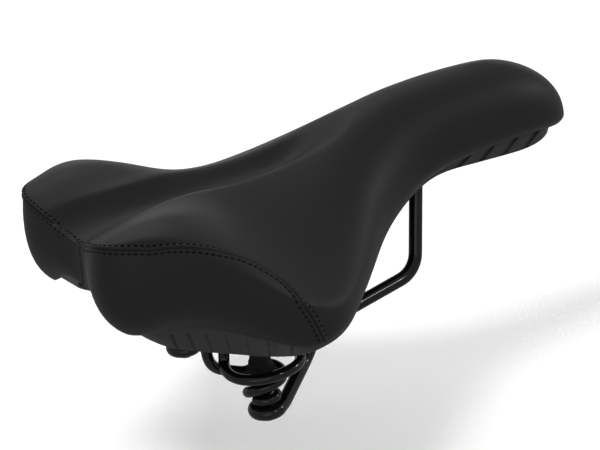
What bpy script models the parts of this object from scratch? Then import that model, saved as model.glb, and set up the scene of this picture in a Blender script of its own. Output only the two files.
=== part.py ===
"""Sprung comfort bicycle saddle.

Frame: +X points to the nose, +Y to the rider's left, +Z up. The origin is midway between the rail's two clamp
sections, near the middle of their length. Lengths below are in millimetres and become metres as meshes are made.
"""

import math

import bmesh
import bpy
import numpy as np
from mathutils import Matrix, Vector

MM = 0.001
GAP = 0.3

# Half outline of the seat top, from the notch at the rear round the left wing to the tip of the nose. Each row
# is a station: spine x, shoulder (the widest point), lower rim of the cover, lower edge of the pan, fullness of
# the section over the top (high is flat with a tight shoulder, low is a straight slope).
STATIONS = [
    (-111, (-138, 0, 72), (-140, 0, 51), (-134, 0, 46.5), 8.0),
    (-109, (-143.2, 21.5, 80), (-141.5, 20, 52), (-133, 19, 46), 7.0),
    (-106, (-146.5, 40, 86.5), (-141, 38.5, 39.5), (-131, 33, 33), 6.0),
    (-102, (-141, 51, 87), (-131.5, 46.5, 37.5), (-120, 42, 25), 5.0),
    (-97, (-127, 60, 84.7), (-118, 51, 38), (-110, 50, 22), 4.0),
    (-90, (-108, 73, 80.2), (-103, 62.5, 36), (-99, 64, 22), 2.2),
    (-81, (-90, 87, 67), (-87, 81, 31.2), (-86, 81, 22), 1.55),
    (-68, (-70, 95.5, 48), (-70, 93.5, 25.7), (-70, 90.5, 21.3), 1.28),
    (-47, (-48, 92, 40), (-48, 90, 27), (-48, 87.5, 23.5), 1.24),
    (-22, (-22, 70, 44), (-22, 66, 31), (-22, 63.5, 27.5), 1.45),
    (5, (5, 44, 52), (5, 38, 37), (5, 35.5, 33.5), 1.8),
    (30, (30, 30, 60), (30, 23.5, 45.5), (30, 21, 42.5), 2.0),
    (50, (52, 25, 67), (52, 19, 52), (52, 16.5, 49), 2.15),
    (68, (80, 23.5, 70), (80, 18, 54), (80, 14.5, 46.6), 2.2),
    (80, (108, 22, 67), (108, 17, 53.5), (108, 13.5, 44.2), 2.06),
    (86, (130.5, 15.8, 59), (127, 12.5, 50.5), (123, 10, 45.2), 2.0),
    (88, (140.5, 0, 52.5), (136, 0, 46.5), (131, 0, 46.4), 1.95),
]
LAST = len(STATIONS) - 1
REAR_BULGE = 8.0  # how far the rear panels swell below the shoulder, at station 2

# Stations of the rear seam: where it leaves the shoulder for the top, is furthest in, and runs down to the rim.
SEAM_LEAVES, SEAM_DROPS, SEAM_ENDS = 4.6, 6.2, 7.33
SEAM_INSET = 0.098

# Height of the crest beside the channel, as (x, z).
CREST = [
    (-150, 80), (-140, 81.5), (-123, 84.3), (-103, 86), (-82, 86.3), (-61, 85), (-40, 84.3),
    (-22, 84.8), (-5, 87), (12, 90.5), (37, 94.5), (60, 94.8), (83, 94), (145, 92),
]
WING_FLARE = 8.5
CHANNEL_DEPTH = 9.5
CHANNEL_END_X = 18

SKIN = 1.3
SEAM_GAP = 1.1  # between the cover's top and rear panels
FOAM_INSET = 5.4  # foam's upper face below the cover's outer face
FOAM_RIM_INSET = 3.1
PAN_INSET = 3.2
PAN_WALL = 2.2
PAN_CROWN_REAR = 54
PAN_CROWN_NOSE = 80

# Wire rail, left half. Corners of its centreline and the bend radius at each.
RAIL_RADIUS = 3.5
BOW = (96, 7, 66)
UPRIGHT_TOP = (46.8, 7.5, 61)
CLAMP_FRONT = (29, 22, 4.6)
CLAMP_REAR = (-30, 22, -4.77)
LEG_KNEE = (-41.5, 25.5, -17.5)
FOOT = (-75.6, 45.4, -24.05)  # axis of the rear eye, and height of its wire
EYE_RADIUS = 6.3
EYE_WRAP = 245

SPRING_WIRE = 2.75
SPRING_EYE_Z = -17.5
# Spring above its second turn, as angle from +X towards the outer side, radius from the foot's axis, height.
SPRING_ARMS = [
    (298, 11, -6.6), (275, 11.3, -6.9), (256, 11.9, -7), (243, 12.8, -6.1), (231, 15.6, -4.4), (219, 20.4, -1.6),
    (211, 23.2, 2.6), (206, 24.4, 7.5), (204, 24.6, 13), (204, 24.5, 19), (204, 24.2, 23.4), (204, 22.7, 26.6),
    (204, 20.4, 27.7), (204, 18.1, 26.6), (204, 16.6, 23.4), (203.5, 16.3, 18), (203, 16.3, 12.5), (203, 16.6, 8),
    (199, 17.2, 5), (189, 17.7, 3.6), (177, 18.1, 2.7), (163, 18.6, 2.2), (147, 19, 1.9), (131, 19, 1.7),
    (115, 19, 1.6), (95, 19.2, 1.7), (75, 19.6, 1.7), (53, 19.9, 1.3), (34, 19.9, 1.1), (19, 19.8, 2),
    (6, 19.5, 4.6), (-4, 19, 8.8), (-10, 18.6, 13.5), (-14, 18.2, 19.5), (-15, 18, 27),
]

# Hairpin of the spring that its carrier holds: direction and distance from the foot, half length, height of its top.
HAIRPIN_ANGLE, HAIRPIN_OUT, HAIRPIN_HALF, HAIRPIN_TOP = 204, 20.4, 7.4, 27.7
GROOVE_RADIUS = SPRING_WIRE + 0.45
CARRIER_LOW, CARRIER_HIGH = 24.5, 33.0
BUMP_STOP_END = -3.4

MATERIALS = {
    "cover": ((0.022, 0.022, 0.023), 0.62, 0.0),
    "foam": ((0.09, 0.09, 0.095), 0.9, 0.0),
    "pan_plastic": ((0.035, 0.035, 0.037), 0.5, 0.0),
    "wire_black": ((0.01, 0.01, 0.011), 0.22, 0.0),
    "rubber": ((0.014, 0.014, 0.015), 0.75, 0.0),
    "steel_zinc": ((0.45, 0.45, 0.46), 0.35, 1.0),
}


def clear_scene():
    for thing in list(bpy.data.objects):
        bpy.data.objects.remove(thing, do_unlink=True)


def new_collection(name):
    found = bpy.data.collections.new(name)
    bpy.context.scene.collection.children.link(found)
    return found


def material(name):
    found = bpy.data.materials.get(name)
    if found:
        return found
    colour, roughness, metallic = MATERIALS[name]
    made = bpy.data.materials.new(name)
    made.use_nodes = True
    shader = made.node_tree.nodes["Principled BSDF"]
    shader.inputs["Base Color"].default_value = (*colour, 1)
    shader.inputs["Roughness"].default_value = roughness
    shader.inputs["Metallic"].default_value = metallic
    return made


def add(name, mesh, slot, smooth_angle=40):
    """Puts a mesh in the model's collection with its material."""
    mesh.materials.append(material(slot))
    mesh.shade_smooth()
    mesh.set_sharp_from_angle(angle=math.radians(smooth_angle))
    made = bpy.data.objects.new(name, mesh)
    bpy.data.collections["saddle"].objects.link(made)
    return made


def mesh_from(name, points, faces):
    mesh = bpy.data.meshes.new(name)
    mesh.from_pydata([Vector(p) * MM for p in points], [], faces)
    mesh.update()
    return mesh


# ---------------------------------------------------------------- seat-top surface


def smooth(t):
    t = min(max(t, 0.0), 1.0)
    return t * t * (3 - 2 * t)


def through(values, t, odd=False):
    """Catmull-Rom spline through evenly spaced values. The ends mirror, with a change of sign where odd."""
    last = len(values) - 1
    start = min(int(t), last - 1)
    part = t - start

    def at(k):
        inside = -k if k < 0 else 2 * last - k if k > last else k
        return -values[inside] if odd and inside != k else values[inside]

    a, b, c, d = (at(start + k) for k in (-1, 0, 1, 2))
    return b + 0.5 * part * (c - a + part * (2 * a - 5 * b + 4 * c - d + part * (3 * (b - c) + d - a)))


def spine_x(t):
    return through([s[0] for s in STATIONS], t)


def outline(which, t):
    """Point of the shoulder (1), cover rim (2) or pan edge (3) at station t."""
    rows = [s[which] for s in STATIONS]
    return np.array([through([r[axis] for r in rows], t, odd=axis == 1) for axis in range(3)])


def outward(which, t):
    """Horizontal direction that points away from the saddle at station t of an outline."""
    low, high = max(t - 0.02, 0), min(t + 0.02, LAST)
    along = outline(which, high) - outline(which, low)
    if t < 0.02 or t > LAST - 0.02:
        return np.array([math.copysign(1, t - 1), 0, 0])
    away = np.array([-along[1], along[0], 0])
    away *= math.copysign(1, away[1]) if 2 < t < LAST - 1 else 1
    return away / np.linalg.norm(away)


def crest_height(x):
    return float(np.interp(x, *zip(*CREST)))


def smooth_crest(x):
    """Crest height with the corners of its polyline rounded off."""
    reach = (-12, -6, 0, 6, 12)
    return sum(crest_height(x + step) for step in reach) / len(reach)


def top_height(x, y):
    """Height of the seat over (x, y), before its edge rolls down."""
    side = abs(y)
    flare = WING_FLARE * smooth((side - 14) / 34) * smooth((-78 - x) / 45)
    half_width = 13 + 5 * smooth((-x - 40) / 90)
    depth = CHANNEL_DEPTH * smooth((CHANNEL_END_X - x) / 34)
    return smooth_crest(x) + flare - depth * (1 - smooth(side / half_width))


def cover_point(t, u, inset=0.0):
    """Point of the cover: u is 0 on the centreline, 1 at the shoulder and 2 at the rim."""
    shoulder = outline(1, t) - inset * outward(1, t)
    if u <= 1:
        start = spine_x(t)
        x = start + (shoulder[0] - start) * u
        y = shoulder[1] * u
        fullness = through([s[4] for s in STATIONS], t)
        drop = max(0.0, 1 - u**fullness) ** (1 / fullness)
        return np.array([x, y, shoulder[2] + (top_height(x, y) - inset - shoulder[2]) * drop])
    rim = outline(2, t) - inset * outward(2, t)
    bend = shoulder + (0.6 + REAR_BULGE * smooth(t / 2) * (1 - smooth((t - 2) / 4))) * outward(1, t)
    bend[2] = rim[2] + 0.28 * (shoulder[2] - rim[2])
    share = u - 1
    return (1 - share) ** 2 * shoulder + 2 * share * (1 - share) * bend + share**2 * rim


def pan_point(t, v, lift=0.0):
    """Point of the pan's outer face: v is 0 on the centreline, 1 where the skirt starts and 2 at its edge."""
    rim = outline(2, t) - (PAN_INSET - 0.5 * lift) * outward(2, t)
    rim[2] += 1
    if v <= 1:
        start = spine_x(t)
        x = start + (rim[0] - start) * v
        y = rim[1] * v
        crown = PAN_CROWN_REAR + (PAN_CROWN_NOSE - PAN_CROWN_REAR) * smooth((x + 60) / 120)
        return np.array([x, y, rim[2] + lift + (crown - rim[2]) * (1 - v**2.4) ** (1 / 2.4)])
    return rim + (outline(3, t) - rim) * (v - 1)


def rows_over_top(end, count):
    """u values from the centreline to end, closer together towards the shoulder."""
    over_top = min(end, 1)
    top_share = 1 - 0.3 * (end - over_top)
    found = []
    for k in range(count + 1):
        w = k / count
        if w <= top_share:
            found.append(over_top * math.sin(math.pi / 2 * w / top_share))
        else:
            found.append(1 + (w - top_share) / (1 - top_share) * (end - 1))
    return found


def seam_at(t):
    """u of the rear seam at station t."""
    inward = SEAM_INSET * smooth((t - SEAM_LEAVES) / 1.7)
    down = min(max((t - SEAM_DROPS) / (SEAM_ENDS - SEAM_DROPS), 0), 1)
    return 1 - inward + (1 + inward) * down**5


def beyond_seam(t):
    """u of the rear panel's upper edge, a seam's gap below the top panel's edge."""
    u = seam_at(t)
    step = 0.02
    return u + SEAM_GAP * step / np.linalg.norm(cover_point(t, u + step) - cover_point(t, u))


def grid_mesh(name, columns, mirrored=False):
    """Sheet through columns of points, faces up. mirrored makes the right-hand copy."""
    side = -1 if mirrored else 1
    points = [(x, y * side, z) for column in columns for x, y, z in column]
    count = len(columns[0])
    faces = []
    for i in range(len(columns) - 1):
        for j in range(count - 1):
            a = i * count + j
            face = (a, a + count, a + count + 1, a + 1)
            faces.append(face[::-1] if mirrored else face)
    return mesh_from(name, points, faces)


def mirror_y(made):
    mirror = made.modifiers.new("both_halves", "MIRROR")
    mirror.use_axis = (False, True, False)
    mirror.merge_threshold = 0.00005


def thicken(made, thickness):
    shell = made.modifiers.new("wall", "SOLIDIFY")
    shell.thickness = thickness * MM
    shell.offset = -1


def on_plane(column, t):
    """Columns at the two ends of the half lie exactly on the plane of symmetry."""
    if t in (0, LAST):
        for point in column:
            point[1] = 0
    column[0][1] = 0
    return column


def make_cover():
    down_the_side = list(np.linspace(SEAM_DROPS, SEAM_ENDS, 7))
    along_the_wing = list(np.arange(0, SEAM_DROPS, 0.5))
    ahead = list(np.arange(math.ceil(SEAM_ENDS * 2) / 2, LAST + 0.1, 0.5))
    columns = []
    for t in along_the_wing + down_the_side + ahead:
        rows = rows_over_top(seam_at(t), 11)
        columns.append(on_plane([cover_point(t, u) for u in rows], t))
    top = add("cover_top", grid_mesh("cover_top", columns), "cover")
    mirror_y(top)
    thicken(top, SKIN)

    for name, mirrored in (("cover_rear_left", False), ("cover_rear_right", True)):
        columns = []
        for t in along_the_wing + down_the_side[:-1]:
            start = beyond_seam(t)
            column = [cover_point(t, start + (2 - start) * (k / 6) ** 1.6) for k in range(7)]
            for point in column:
                point[1] = max(point[1], GAP / 2)
            columns.append(column)
        panel = add(name, grid_mesh(name, columns, mirrored), "cover")
        thicken(panel, SKIN)


def foam_inset(u):
    """The foam's face comes closer to the cover below the shoulder, where the pan's rim leaves little room."""
    return FOAM_INSET - (FOAM_INSET - FOAM_RIM_INSET) * smooth((u - 1) / 0.4)


def make_foam():
    """Closed pad between the cover and the pan, open only on the plane of symmetry before it is mirrored."""
    columns = []
    for t in np.linspace(0, LAST, 2 * LAST + 1):
        upper = [cover_point(t, u, foam_inset(u)) for u in rows_over_top(1.6, 9)]
        lower = [pan_point(t, v, lift=1.8) for v in (0.95, 0.88, 0.75, 0.55, 0.3, 0)]
        column = on_plane(upper + lower, t)
        column[-1][1] = 0
        columns.append(column)
    mirror_y(add("foam_pad", grid_mesh("foam_pad", columns), "foam"))


def make_pan():
    columns = []
    for t in np.linspace(0, LAST, 2 * LAST + 1):
        column = [pan_point(t, v) for v in (0, 0.3, 0.55, 0.75, 0.88, 0.95, 0.985, 1, 1.5, 2)]
        columns.append(on_plane(column, t))
    pan = add("base_pan", grid_mesh("base_pan", columns), "pan_plastic")
    mirror_y(pan)
    thicken(pan, PAN_WALL)


# ---------------------------------------------------------------- wire work


def wire(name, points, radius, slot):
    """Round wire along the points, with closed ends."""
    curve = bpy.data.curves.new(name, "CURVE")
    curve.dimensions = "3D"
    curve.bevel_depth = radius * MM
    curve.bevel_resolution = 2
    curve.use_fill_caps = True
    line = curve.splines.new("POLY")
    line.points.add(len(points) - 1)
    for knot, point in zip(line.points, points):
        knot.co = (*(Vector(point) * MM), 1)
    curve.materials.append(material(slot))
    made = bpy.data.objects.new(name, curve)
    bpy.data.collections["saddle"].objects.link(made)
    return made


def rounded(corners, step=14):
    """Polyline through corners given as (point, bend radius), with an arc at each inner corner."""
    points = [Vector(corners[0][0])]
    for (before, _), (corner, radius), (after, _) in zip(corners, corners[1:], corners[2:]):
        corner = Vector(corner)
        back = (Vector(before) - corner).normalized()
        ahead = (Vector(after) - corner).normalized()
        turn = math.pi - back.angle(ahead)
        reach = radius * math.tan(turn / 2)
        centre = corner + (back + ahead).normalized() * radius / math.cos(turn / 2)
        first = corner + back * reach - centre
        axis = first.cross(corner + ahead * reach - centre).normalized()
        count = max(2, round(math.degrees(turn) / step))
        for k in range(count + 1):
            points.append(centre + Matrix.Rotation(turn * k / count, 3, axis) @ first)
    points.append(Vector(corners[-1][0]))
    return points


def across(point, side):
    return Vector((point[0], point[1] * side, point[2]))


def eye_tangent():
    """Direction of the left leg in plan, and the way from the eye's centre to where the leg meets the eye."""
    run = Vector((FOOT[0] - LEG_KNEE[0], FOOT[1] - LEG_KNEE[1]))
    heading = math.atan2(run.y, run.x) - math.asin(EYE_RADIUS / run.length)
    along = Vector((math.cos(heading), math.sin(heading)))
    return along, Vector((along.y, -along.x))


def rail_half():
    """Left half of the rail's centreline, from the middle of the bow to the end of the rear eye."""
    along, away = eye_tangent()
    centre = Vector(FOOT)
    touch = centre + away.to_3d() * EYE_RADIUS
    level_start = touch - along.to_3d() * 7
    corners = [
        ((BOW[0], 0, BOW[2]), 0),
        (BOW, BOW[1] - 0.05),
        (UPRIGHT_TOP, 13),
        (CLAMP_FRONT, 15),
        (CLAMP_REAR, 14),
        (LEG_KNEE, 14),
        (level_start, 14),
        (touch, 0),
    ]
    points = rounded(corners)
    steps = 14
    for k in range(1, steps + 1):
        angle = math.radians(EYE_WRAP) * k / steps
        offset = away * math.cos(angle) + along * math.sin(angle)
        points.append(centre + offset.to_3d() * EYE_RADIUS)
    return points


def make_rail():
    half = rail_half()
    other = [across(p, -1) for p in half]
    wire("rail_wire", half[::-1] + other[1:], RAIL_RADIUS, "wire_black")


def spring_line():
    """Centreline of the left spring as (angle, radius, height) about the foot's axis."""
    line = [(angle, 5.4, SPRING_EYE_Z) for angle in range(898, 657, -30)]
    for angle in range(628, 300, -30):
        rise = (658 - angle) / 360
        height = SPRING_EYE_Z + 8.5 * smooth(rise * 1.7) + 3.8 * rise**2
        line.append((angle, 5.4 + 2.9 * smooth(3 * rise) + 3.2 * rise**2, height))
    arms = []
    for t in np.linspace(0, len(SPRING_ARMS) - 1, 2 * len(SPRING_ARMS) - 1):
        arms.append([through([row[k] for row in SPRING_ARMS], t) for k in range(3)])
    arms[-1] = SPRING_ARMS[-1]
    return line + arms


def spring_points(side):
    points = []
    for angle, radius, height in spring_line():
        turn = math.radians(angle)
        x = FOOT[0] + radius * math.cos(turn)
        y = FOOT[1] + radius * math.sin(turn)
        points.append(Vector((x, y * side, height)))
    return points


# ---------------------------------------------------------------- turned and flat pieces


def turned(name, profile, place, slot, steps=20):
    """Solid of revolution about a vertical axis; the profile runs down its outer side."""
    mesh = bpy.data.meshes.new(name)
    count = len(profile)
    closed = profile[0][0] > 0
    edges = [(k, k + 1) for k in range(count - 1)] + ([(count - 1, 0)] if closed else [])
    mesh.from_pydata([(r * MM, 0, z * MM) for r, z in profile], edges, [])
    made = add(name, mesh, slot, 35)
    made.location = Vector(place) * MM
    spin = made.modifiers.new("turn", "SCREW")
    spin.steps = steps
    spin.render_steps = steps
    spin.use_merge_vertices = True
    spin.merge_threshold = 0.00001
    return made


def plate(name, outline_points, low, high, slot):
    """Flat piece with a horizontal outline."""
    mesh = bpy.data.meshes.new(name)
    count = len(outline_points)
    lower = [(x, y, low) for x, y in outline_points]
    upper = [(x, y, high) for x, y in outline_points]
    sides = [(k, (k + 1) % count, count + (k + 1) % count, count + k) for k in range(count)]
    faces = [tuple(range(count))[::-1], tuple(range(count, 2 * count))] + sides
    mesh.from_pydata([Vector(p) * MM for p in lower + upper], [], faces)
    return add(name, mesh, slot, 35)


def stadium(centre, direction, back, front, half_width, steps=8):
    """Outline with round ends, anticlockwise, that reaches from -back to front along direction."""
    along = Vector(direction).normalized()
    across_it = Vector((-along.y, along.x))
    points = []
    for end, first in ((front - half_width, -90), (half_width - back, 90)):
        for k in range(steps + 1):
            angle = math.radians(first + 180 * k / steps)
            offset = along * (end + half_width * math.cos(angle)) + across_it * half_width * math.sin(angle)
            points.append((centre[0] + offset.x, centre[1] + offset.y))
    return points


def as_cutter(made):
    """Moves an object to the cutters' collection and keeps it out of the model."""
    for home in list(made.users_collection):
        home.objects.unlink(made)
    bpy.data.collections["cutters"].objects.link(made)
    made.hide_render = True
    made.display_type = "WIRE"
    return made


def to_mesh(made):
    """Mesh object in place of a curve object, with its end caps welded on."""
    bpy.context.view_layer.update()
    shape = made.evaluated_get(bpy.context.evaluated_depsgraph_get())
    mesh = bpy.data.meshes.new_from_object(shape)
    build = bmesh.new()
    build.from_mesh(mesh)
    bmesh.ops.remove_doubles(build, verts=build.verts, dist=0.00002)
    build.to_mesh(mesh)
    build.free()
    solid = bpy.data.objects.new(made.name + "_solid", mesh)
    solid.matrix_world = made.matrix_world
    bpy.data.collections["saddle"].objects.link(solid)
    bpy.data.objects.remove(made, do_unlink=True)
    return solid


def combine(made, tool, operation):
    step = made.modifiers.new(operation.lower(), "BOOLEAN")
    step.operation = operation
    step.solver = "EXACT"
    step.object = as_cutter(tool)


def rod(name, radius, low, high, place, slot, steps=20):
    return turned(name, [(0, high), (radius, high), (radius, low), (0, low)], place, slot, steps)


def runs_above(points, height):
    """Stretches of a line that lie above a height, each with the point before and after it."""
    runs = []
    inside = False
    for before, point in zip(points, points[1:]):
        if point.z > height:
            if not inside:
                runs.append([before])
            runs[-1].append(point)
        elif inside:
            runs[-1].append(point)
        inside = point.z > height
    return runs


def make_springs(side, label):
    points = spring_points(side)
    wire(f"spring_{label}", points, SPRING_WIRE, "wire_black")

    foot = (FOOT[0], FOOT[1] * side, 0)
    along = (math.cos(math.radians(201)), math.sin(math.radians(201)) * side)
    shape = stadium(foot, along, 25.5, 34, 12.5)
    block = plate(f"spring_carrier_{label}", shape, CARRIER_LOW, CARRIER_HIGH, "pan_plastic")
    combine(block, rod(f"cut_post_{label}", 8, CARRIER_HIGH - 1, 44, foot, "pan_plastic"), "UNION")
    combine(block, rod(f"cut_bore_{label}", 2.6, CARRIER_LOW - 1, 41, foot, "pan_plastic"), "DIFFERENCE")
    out = math.radians(HAIRPIN_ANGLE)
    hairpin = Vector((foot[0] + HAIRPIN_OUT * math.cos(out), foot[1] + HAIRPIN_OUT * math.sin(out) * side, 0))
    shape = stadium(hairpin, (math.cos(out), math.sin(out) * side), HAIRPIN_HALF, HAIRPIN_HALF, GROOVE_RADIUS)
    slot = plate(f"cut_slot_{label}", shape, CARRIER_LOW - 1, HAIRPIN_TOP + GROOVE_RADIUS, "pan_plastic")
    combine(block, slot, "DIFFERENCE")
    beyond_end = points[-1] + (points[-1] - points[-2]).normalized() * 0.8
    last_run = runs_above(points + [beyond_end], CARRIER_LOW - 3)[-1]
    groove = wire(f"cut_groove_{label}", last_run, GROOVE_RADIUS, "pan_plastic")
    combine(block, to_mesh(groove), "DIFFERENCE")

    low = BUMP_STOP_END
    stop = [
        (8.6, CARRIER_LOW - GAP), (8.6, 21), (6.2, 17.5), (4.5, 11), (4.4, 7), (5.4, 2.5), (6.6, -0.6),
        (7.2, low + 1), (6.8, low), (4.3, low), (4.3, 0), (2.7, 0), (2.7, CARRIER_LOW - GAP),
    ]
    turned(f"bump_stop_{label}", stop, foot, "rubber")
    bolt = [(0, 40), (2.1, 40), (2.1, -GAP), (3.8, -GAP), (3.8, -2), (2.8, -2.8), (0, -3)]
    turned(f"bump_bolt_{label}", bolt, foot, "steel_zinc", 16)


def make_foot(side, label):
    """Rivet that holds the spring's eye on the rail's eye, and the washer under its formed end."""
    place = (FOOT[0], FOOT[1] * side, 0)
    eye_top = SPRING_EYE_Z + SPRING_WIRE
    low = FOOT[2] - RAIL_RADIUS - GAP
    head = [(0, eye_top + 3.6), (2.4, eye_top + 3.4), (3.9, eye_top + 2.4), (3.9, eye_top + 1.7)]
    end = low - 2.2
    shank = [(2.1, eye_top + GAP), (2.1, low - 1.1), (3.7, low - 1.1), (3.7, low - 1.6), (2.9, end), (0, end)]
    turned(f"foot_rivet_{label}", head + shank, place, "steel_zinc", 16)
    washer = [(2.5, low), (5.3, low), (5.3, low - 0.8), (2.5, low - 0.8)]
    turned(f"foot_washer_{label}", washer, place, "steel_zinc", 24)


def tee(width, tongue, back, middle, front):
    """Outline of a plate whose narrow tongue lies between the wires of the bow."""
    return [
        (back, -tongue), (middle, -tongue), (middle, -width), (front, -width),
        (front, width), (middle, width), (middle, tongue), (back, tongue),
    ]


def make_bow_seat():
    """Block over the bow, clip under it, and the two screws that pull them together."""
    x, _, z = BOW
    low, high = z - RAIL_RADIUS - 0.5, z + RAIL_RADIUS + 0.5
    shape = tee(7.5, 2.6, x - 19, x - 5, x + 10)
    block = plate("bow_block", shape, high, high + 2.6, "pan_plastic")
    clip = plate("rail_clip", shape, low - 2.2, low, "steel_zinc")
    for name, place_x in (("rear", x - 16), ("front", x + 7.5)):
        place = (place_x, 0, 0)
        combine(block, rod(f"cut_block_{name}", 1.8, high - 1, high + 1.9, place, "foam", 12), "DIFFERENCE")
        combine(clip, rod(f"cut_clip_{name}", 1.8, low - 3, low + 1, place, "foam", 12), "DIFFERENCE")
        base = low - 2.2 - GAP
        screw = [(0, high + 1.6), (1.4, high + 1.6), (1.4, base), (2.2, base), (2.2, base - 1.2),
                 (1.4, base - 1.9), (0, base - 2.0)]
        turned(f"clip_screw_{name}", screw, place, "steel_zinc", 12)


def build():
    clear_scene()
    new_collection("saddle")
    new_collection("cutters")
    make_cover()
    make_foam()
    make_pan()
    make_bow_seat()
    make_rail()
    for side, label in ((1, "left"), (-1, "right")):
        make_springs(side, label)
        make_foot(side, label)


build()
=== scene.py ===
"""Looks of the sprung comfort saddle: cover, seam, stitching, moulded pan, wire work and small hardware.

Lengths are in millimetres and become metres as meshes are made. The seat's surface and the wires follow the
formulas of the solid model at a finer step. Four things differ at the rear: the wings' flare starts
further forward, the channel is wider, the seam leaves the shoulder sooner, and the lower edges are rounder at
the notch.
"""

import math

import bmesh
import bpy
import numpy as np
from mathutils import Matrix, Vector
from mathutils.bvhtree import BVHTree


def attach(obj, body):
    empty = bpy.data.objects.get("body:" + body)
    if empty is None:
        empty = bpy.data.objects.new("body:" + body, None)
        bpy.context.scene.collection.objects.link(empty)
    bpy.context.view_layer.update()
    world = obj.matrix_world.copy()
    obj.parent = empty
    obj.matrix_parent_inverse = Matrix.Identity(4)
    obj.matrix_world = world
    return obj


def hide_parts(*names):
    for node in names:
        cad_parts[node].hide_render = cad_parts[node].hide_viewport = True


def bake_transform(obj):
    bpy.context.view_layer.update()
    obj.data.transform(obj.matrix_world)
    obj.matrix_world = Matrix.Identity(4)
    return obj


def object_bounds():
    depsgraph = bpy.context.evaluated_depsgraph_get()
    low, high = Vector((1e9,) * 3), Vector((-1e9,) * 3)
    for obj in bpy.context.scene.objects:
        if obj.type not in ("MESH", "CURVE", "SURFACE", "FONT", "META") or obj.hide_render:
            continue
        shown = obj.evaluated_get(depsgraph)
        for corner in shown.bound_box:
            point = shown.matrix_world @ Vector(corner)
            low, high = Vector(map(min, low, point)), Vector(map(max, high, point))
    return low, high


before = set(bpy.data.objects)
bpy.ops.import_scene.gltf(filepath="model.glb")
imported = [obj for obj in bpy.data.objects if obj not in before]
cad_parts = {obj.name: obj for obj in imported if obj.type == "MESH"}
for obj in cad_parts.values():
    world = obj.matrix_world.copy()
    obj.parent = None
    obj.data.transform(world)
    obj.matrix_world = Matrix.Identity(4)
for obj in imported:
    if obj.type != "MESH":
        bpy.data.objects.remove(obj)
CAD_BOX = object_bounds()

MM = 0.001

# ---------------------------------------------------------------- driving dimensions

# Half outline of the seat top, from the notch at the rear round the left wing to the tip of the nose. Each
# row is a station: spine x, shoulder (the widest point), lower rim of the cover, lower edge of the pan, and
# fullness of the section over the top (high is flat with a tight shoulder, low is a straight slope).
STATIONS = [
    (-111, (-138, 0, 72), (-140, 0, 51), (-134, 0, 46), 8.0),
    (-109, (-143.2, 21.5, 80), (-141.5, 20, 50), (-133, 19, 43.5), 7.0),
    (-106, (-146.5, 40, 86.5), (-141, 38.5, 40), (-132, 34, 35), 6.0),
    (-102, (-141, 51, 87), (-131.5, 46.5, 37.5), (-120, 42, 25), 5.0),
    (-97, (-127, 60, 84.7), (-118, 51, 38), (-110, 50, 22), 4.0),
    (-90, (-108, 73, 80.2), (-103, 62.5, 36), (-99, 64, 22), 2.2),
    (-81, (-90, 87, 67), (-87, 81, 31.2), (-86, 81, 22), 1.55),
    (-68, (-70, 95.5, 48), (-70, 93.5, 25.7), (-70, 90.5, 21.3), 1.28),
    (-47, (-48, 92, 40), (-48, 90, 27), (-48, 87.5, 23.5), 1.24),
    (-22, (-22, 70, 44), (-22, 66, 31), (-22, 63.5, 27.5), 1.45),
    (5, (5, 44, 52), (5, 38, 37), (5, 35.5, 33.5), 1.8),
    (30, (30, 30, 60), (30, 23.5, 45.5), (30, 21, 42.5), 2.0),
    (50, (52, 25, 67), (52, 19, 52), (52, 16.5, 49), 2.15),
    (68, (80, 23.5, 70), (80, 18, 54), (80, 14.5, 46.6), 2.2),
    (80, (108, 22, 67), (108, 17, 53.5), (108, 13.5, 44.2), 2.06),
    (86, (130.5, 15.8, 59), (127, 12.5, 50.5), (123, 10, 45.2), 2.0),
    (88, (140.5, 0, 52.5), (136, 0, 46.5), (131, 0, 46.4), 1.95),
]
LAST = len(STATIONS) - 1
SHOULDER, RIM, PAN_EDGE = 1, 2, 3
SIDE_BULGE, REAR_BULGE = 0.6, 8.0
BEND_HEIGHT = 0.28  # share of the side's height at which its bend lies
SOFTEN_STEP, SOFTEN_REACH = 0.12, 0.3  # in stations

# Stations at which the seam leaves the shoulder, turns down to the rim and ends there.
SEAM_LEAVES, SEAM_DROPS, SEAM_ENDS = 4.0, 6.2, 7.33
SEAM_INSET = 0.098
SEAM_RAMP = 2.3

# Spacing of the cover's grid in stations. It is closer where the seam turns down.
STATION_STEP = 0.09
CLOSE_FROM, CLOSE_TO = 6.4, 7.6

# Height of the crest beside the channel, as (x, z).
CREST = [
    (-150, 80), (-140, 81.5), (-123, 84.3), (-103, 86), (-82, 86.3), (-61, 85), (-40, 84.3),
    (-22, 84.8), (-5, 87), (12, 90.5), (37, 94.5), (60, 94.8), (83, 94), (145, 92),
]
CREST_BLEND = 15
WING_FLARE = 8.5
CHANNEL_DEPTH = 9.5
CHANNEL_HALF_WIDTH = 13.5
CHANNEL_SPREAD, CHANNEL_MOUTH = 4.5, 6  # how much it widens over the wings, and again at the notch
CHANNEL_END_X = 18
CHANNEL_ROUND = 28  # length over which the channel's front end rounds off

SKIN = 1.0
EDGE_RADIUS = 0.3
HEM_RADIUS = 1.05
HEM_TAIL = 3.0
PAN_INSET = 3.2
PAN_WALL = 2.2
PAN_CROWN_REAR = 54
PAN_CROWN_NOSE = 80

STITCH_PITCH = 3.0
STITCH_LENGTH = 2.15
STITCH_OFFSET = 2.1
THREAD_RADIUS = 0.42
THREAD_LIFT = 0.32
THREAD_DIVE = 0.42  # how far a stitch's ends sink below its middle
BAND_HALF_WIDTH = 2.75
FOLD_HEIGHT, FOLD_WIDTH = 0.62, 2.3
CREASE_DEPTH, CREASE_WIDTH = 0.38, 0.3
PIT_DEPTH, PIT_WIDTH = 0.72, 0.6

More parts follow.
